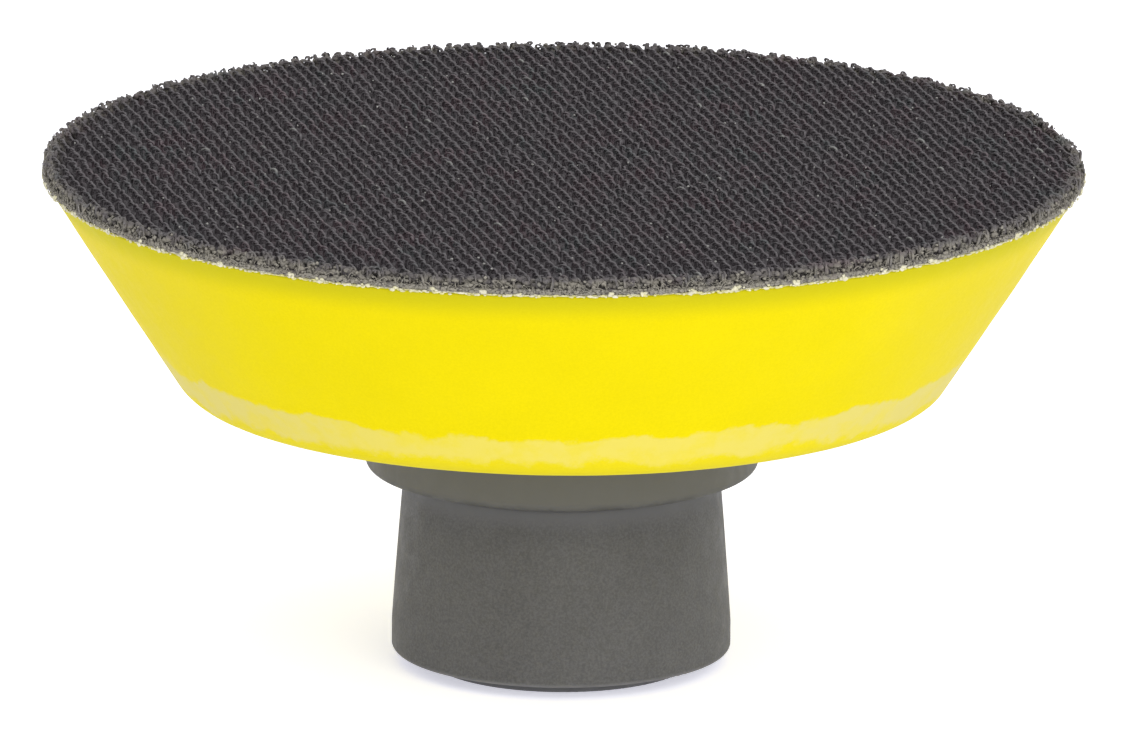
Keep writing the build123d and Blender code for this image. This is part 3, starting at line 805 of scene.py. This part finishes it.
def tape_finish():
    """Woven backing: ribs along the hook rows, crossed by finer threads, paler at the cut edge."""
    f = Finish("hook_tape_weave", (0.02, 0.018, 0.02), 0.85)
    row_normal = Vector((-HOOK_STEP.y, HOOK_STEP.x)).normalized()
    row_gap = abs(ROW_STEP.dot(row_normal))
    along = f.moved(angle=-ROW_ANGLE)
    parts = f.nodes.new("ShaderNodeSeparateXYZ")
    f.link(along, parts.inputs[0])
    rib = f.maths("SINE", f.maths("MULTIPLY", parts.outputs[1], TAU / row_gap))
    thread = f.maths("SINE", f.maths("MULTIPLY", parts.outputs[0], TAU / THREAD_GAP))
    weave = f.maths("ADD", f.maths("MULTIPLY", rib, 0.5), f.maths("MULTIPLY", thread, 0.3))
    lifted = f.ramp(weave, -0.8, 0.8)
    # painted light and shade: the raised threads lighter and the grooves between them darker,
    # following the bump
    body = f.mixed(lifted, (0.054, 0.046, 0.052), (0.09, 0.078, 0.088))
    edge = f.ramp(f.radius(), DISC_R - 0.45 * MM, DISC_R - 0.1 * MM)
    ragged = f.maths("MULTIPLY", edge, f.ramp(f.noise(2400, 4, 0.7), 0.38, 0.6, 0.1, 1.0))
    f.colour(f.mixed(ragged, body, (0.26, 0.243, 0.195)))
    f.roughness(f.ramp(f.noise(1800, 2), 0.3, 0.7, 0.75, 0.92))
    f.bump(lifted, 0.08 * MM, 0.8)
    return f.material


def glue_finish():
    """Set glue: white on the lumps, yellowed on the thin bead."""
    f = Finish("squeezed_glue", (0.7, 0.66, 0.45), 0.5)
    shade = f.nodes.new("ShaderNodeAttribute")
    shade.attribute_name = "shade"
    body = f.mixed(shade.outputs["Fac"], (0.6, 0.56, 0.21), (0.69, 0.66, 0.52))
    f.colour(f.mixed(f.ramp(f.noise(2600, 4), 0.35, 0.6, 0.0, 0.4), body, (0.36, 0.34, 0.2)))
    f.roughness(f.ramp(f.noise(1300, 3), 0.3, 0.7, 0.4, 0.6))
    f.bump(f.noise(5000, 3), 0.02 * MM, 0.6)
    return f.material


GREY_ROUGHNESS = 0.58


def grey_finish(name, dark, light, edge_z, edge_width, painted_edge_tone, painted_shoulder_light=1.0):
    """Matte moulded plastic: mottled and finely grained, with a painted band along one edge, a
    highlight where its factor is above 1 and shade where it is below, and painted light on the
    shoulder.
    """
    f = Finish(name, dark, GREY_ROUGHNESS, Specular_IOR_Level=0.3)
    mottled = f.ramp(f.noise(160, 5, 0.6), 0.3, 0.7)
    body = f.mixed(mottled, dark, light)
    grain = f.ramp(f.noise(5600, 3, 0.75), 0.32, 0.68)
    body = f.mixed(grain, f.mixed(0.16, body, BLACK), f.mixed(0.02, body, WHITE))
    z = f.split()[2]
    # painted light on the collar's shoulder, against the shade of the hub above it
    upper = f.ramp(z, collar_high.z - 2.2 * MM, collar_high.z - 0.5 * MM)
    body = f.mixed(upper, body, tuple(painted_shoulder_light * c for c in light))
    # a painted band along one edge: lighter, a painted highlight, where its factor is above 1;
    # darker, painted shade, where it is below 1
    edge = f.ramp(z, edge_z + 0.1 * MM, edge_z + edge_width, 1.0, 0.0)
    uneven = f.maths("MULTIPLY", edge, f.ramp(f.noise(520, 4), 0.35, 0.6, 0.5, 0.95))
    f.colour(f.mixed(uneven, body, tuple(painted_edge_tone * c for c in light)))
    rubbed = f.noise(700, 4, 0.65)
    f.roughness(f.ramp(rubbed, 0.35, 0.75, GREY_ROUGHNESS + 0.06, GREY_ROUGHNESS - 0.1))
    f.bump(f.noise(5200, 3, 0.6), 0.012 * MM, 0.5)
    f.bump(f.noise(240, 2), 0.05 * MM, 0.25)
    return f.material


def metal_finish(name, colour, roughness, turned=True, spots=0.15):
    """Metal with lathe marks, or with an even ground grain, and faint stains."""
    f = Finish(name, colour, roughness, Metallic=1.0)
    x, y, z = f.split()
    if turned:
        gather = f.nodes.new("ShaderNodeCombineXYZ")
        f.link(f.radius(), gather.inputs[0])
        f.link(z, gather.inputs[1])
        marks = f.noise(9000, 2, 0.6, gather.outputs[0])
    else:
        marks = f.noise(4200, 3, 0.6)
    stain = f.ramp(f.noise(420, 4), 0.4, 0.75, 0.0, spots * 3)
    darker = tuple(c * 0.6 for c in colour)
    f.colour(f.mixed(stain, colour, darker))
    f.roughness(f.ramp(marks, 0.3, 0.7, roughness * 0.75, roughness * 1.3))
    f.bump(marks, 0.006 * MM, 0.5)
    return f.material


def soft_finish(name, colour, roughness):
    """Moulded rubber or set glue: slight bloom and a fine uneven skin."""
    f = Finish(name, colour, roughness)
    bloom = f.ramp(f.noise(480, 5), 0.4, 0.7, 0.0, 0.6)
    paler = tuple(min(1.0, c * 1.35 + 0.01) for c in colour)
    f.colour(f.mixed(bloom, colour, paler))
    f.roughness(f.ramp(f.noise(1300, 3), 0.3, 0.7, roughness - 0.1, roughness + 0.1))
    f.bump(f.noise(3000, 3), 0.015 * MM, 0.5)
    return f.material


def dress(target, material):
    """Gives an object one material in every slot."""
    slots = target.material_slots
    if not slots:
        target.data.materials.append(material)
        return
    for s in slots:
        s.link = "OBJECT"
        s.material = material


COLLAR_DARK, COLLAR_LIGHT = (0.073, 0.072, 0.0725), (0.083, 0.082, 0.0825)
HUB_DARK, HUB_LIGHT = (0.095, 0.094, 0.09), (0.105, 0.104, 0.099)
# the collar: a painted highlight along its foot and painted light on its shoulder; the hub: painted
# shade along its lower edge
collar_grey = grey_finish(
    "collar_grey",
    COLLAR_DARK,
    COLLAR_LIGHT,
    edge_z=collar_low.z,
    edge_width=0.4 * MM,
    painted_edge_tone=1.6,
    painted_shoulder_light=1.3,
)
hub_grey = grey_finish(
    "hub_grey", HUB_DARK, HUB_LIGHT, edge_z=hub_low.z, edge_width=0.7 * MM, painted_edge_tone=0.45
)
dark_rubber = soft_finish("dark_rubber", (0.115, 0.115, 0.113), 0.7)
turned_aluminium = metal_finish("turned_aluminium", (0.62, 0.62, 0.63), 0.3)
black_steel = metal_finish("black_steel", (0.035, 0.035, 0.038), 0.4, turned=False)
spring_steel = metal_finish("spring_steel", (0.14, 0.14, 0.15), 0.38, turned=False)
bearing_steel = metal_finish("bearing_steel", (0.6, 0.6, 0.6), 0.18)
pressed_steel = metal_finish("pressed_steel", (0.52, 0.52, 0.52), 0.3)
ball_chrome = metal_finish("ball_chrome", (0.75, 0.75, 0.76), 0.08, turned=False, spots=0.02)
shaft_steel = metal_finish("shaft_steel", (0.46, 0.46, 0.47), 0.28)
plate_steel = metal_finish("plate_steel", (0.52, 0.52, 0.5), 0.35, turned=False, spots=0.3)
nylon_cage = soft_finish("nylon_cage", (0.25, 0.19, 0.1), 0.5)
cream_glue = soft_finish("cream_adhesive", (0.80, 0.76, 0.60), 0.5)

CAD_FINISHES = {
    "nose_collar": collar_grey,
    "hub_flange": hub_grey,
    "base_ring": dark_rubber,
    "dust_seal": dark_rubber,
    "bearing_housing": turned_aluminium,
    "outer_race_spacer": turned_aluminium,
    "clamp_screw": black_steel,
    "plate_screws": black_steel,
    "bore_circlip": spring_steel,
    "shaft_circlip": spring_steel,
    "disc_spring": spring_steel,
    "lower_outer_race": bearing_steel,
    "upper_outer_race": bearing_steel,
    "lower_inner_race": bearing_steel,
    "upper_inner_race": bearing_steel,
    "lower_bearing_shields": pressed_steel,
    "upper_bearing_shields": pressed_steel,
    "inner_race_spacer": pressed_steel,
    "lower_balls": ball_chrome,
    "upper_balls": ball_chrome,
    "lower_ball_cage": nylon_cage,
    "upper_ball_cage": nylon_cage,
    "spindle": shaft_steel,
    "threaded_insert": shaft_steel,
    "carrier_plate": plate_steel,
    "adhesive_film": cream_glue,
}
for node, material in CAD_FINISHES.items():
    dress(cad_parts[node], material)

dress(foam, foam_finish())
dress(tape, tape_finish())
dress(glue, glue_finish())
hook_nylon = strand_finish("hook_nylon", (0.073, 0.063, 0.071), (0.076, 0.065, 0.074), lint=0.3)
for piece in hooks:
    dress(piece, hook_nylon)
rib_yarn = strand_finish("rib_yarn", (0.071, 0.061, 0.069), (0.095, 0.082, 0.092), roughness=0.8)
for piece in (ribs, filling):
    dress(piece, rib_yarn)
frayed_threads = strand_finish(
    "frayed_threads",
    (0.2, 0.187, 0.155),
    (0.34, 0.318, 0.262),
    rim_tint=(0.255, 0.236, 0.197),
    roughness=0.8,
    raised_from=0.6,
    own_from=0.1,
    lint=0.4,
)
for piece in (fray, crumbs):
    dress(piece, frayed_threads)
dress(lint, soft_finish("lint", (0.3, 0.295, 0.28), 0.85))


# ---- stage, light and camera -------------------------------------------------------------------
FLOOR_HALF = 3.0  # metres from the middle to each side


def stage():
    """Plain pale floor."""
    half = FLOOR_HALF
    corners = [(-half, -half, 0), (half, -half, 0), (half, half, 0), (-half, half, 0)]
    floor = mesh_object("floor", corners, [(0, 1, 2, 3)])
    paper = Finish("floor_paper", (0.9, 0.9, 0.9), 0.9)
    uneven = paper.ramp(paper.noise(6, 2), 0.3, 0.7)
    paper.colour(paper.mixed(uneven, (0.9, 0.9, 0.9), (0.91, 0.91, 0.91)))
    paper.surface.inputs["Emission Color"].default_value = (0.89, 0.89, 1, 1)
    paper.surface.inputs["Emission Strength"].default_value = 0.53
    dress(floor, paper.material)


def softbox(name, place, size, watts):
    """A square area light that looks at the pad."""
    lamp = bpy.data.lights.new(name, "AREA")
    lamp.energy = watts
    lamp.size = size
    light = bpy.data.objects.new(name, lamp)
    bpy.context.scene.collection.objects.link(light)
    light.location = place
    aim = Vector((0, 0, hub_high.z)) - light.location
    light.rotation_euler = aim.to_track_quat("-Z", "Y").to_euler()


def world_light(strength):
    """Even white light from all round."""
    world = bpy.data.worlds.new("studio")
    bpy.context.scene.world = world
    world.use_nodes = True
    world.node_tree.nodes["Background"].inputs["Color"].default_value = (1, 1, 1, 1)
    world.node_tree.nodes["Background"].inputs["Strength"].default_value = strength


CAMERA_AWAY = 1.2  # metres from what it looks at
CAMERA_UP = math.radians(13.97)
CAMERA_ROLL = math.radians(0.31)
AIM_HEIGHT = 22.03 * MM
SENSOR = 36.0  # like the lens length, in millimetres
CLIP_END = 20.0
LENS_PER_METRE = 436.0  # lens length for each metre away that keeps the pad this large in view


def camera():
    """The photo's view: from the front, a little above, and very slightly rolled."""
    lens = bpy.data.cameras.new("camera")
    lens.sensor_width = SENSOR
    lens.lens = LENS_PER_METRE * CAMERA_AWAY
    lens.clip_end = CLIP_END
    eye = bpy.data.objects.new("camera", lens)
    bpy.context.scene.collection.objects.link(eye)
    aim = Vector((0, 0, AIM_HEIGHT))
    eye.location = aim + Vector((0, -math.cos(CAMERA_UP), math.sin(CAMERA_UP))) * CAMERA_AWAY
    look = (aim - eye.location).to_track_quat("-Z", "Y").to_matrix().to_4x4()
    roll = Matrix.Rotation(CAMERA_ROLL, 4, "Z")
    eye.matrix_world = Matrix.Translation(eye.location) @ look @ roll
    bpy.context.scene.camera = eye


stage()
world_light(strength=0.72)
softbox("front_box", (0.4, -1.1, 0.7), size=0.9, watts=8.3)
softbox("left_box", (-1.0, -0.1, 0.4), size=0.8, watts=0.35)
softbox("right_box", (1.0, 0.1, 0.4), size=0.8, watts=0.35)
softbox("top_box", (0.0, 0.2, 1.2), size=1.0, watts=3)
camera()
bpy.context.scene.view_settings.view_transform = "Standard"
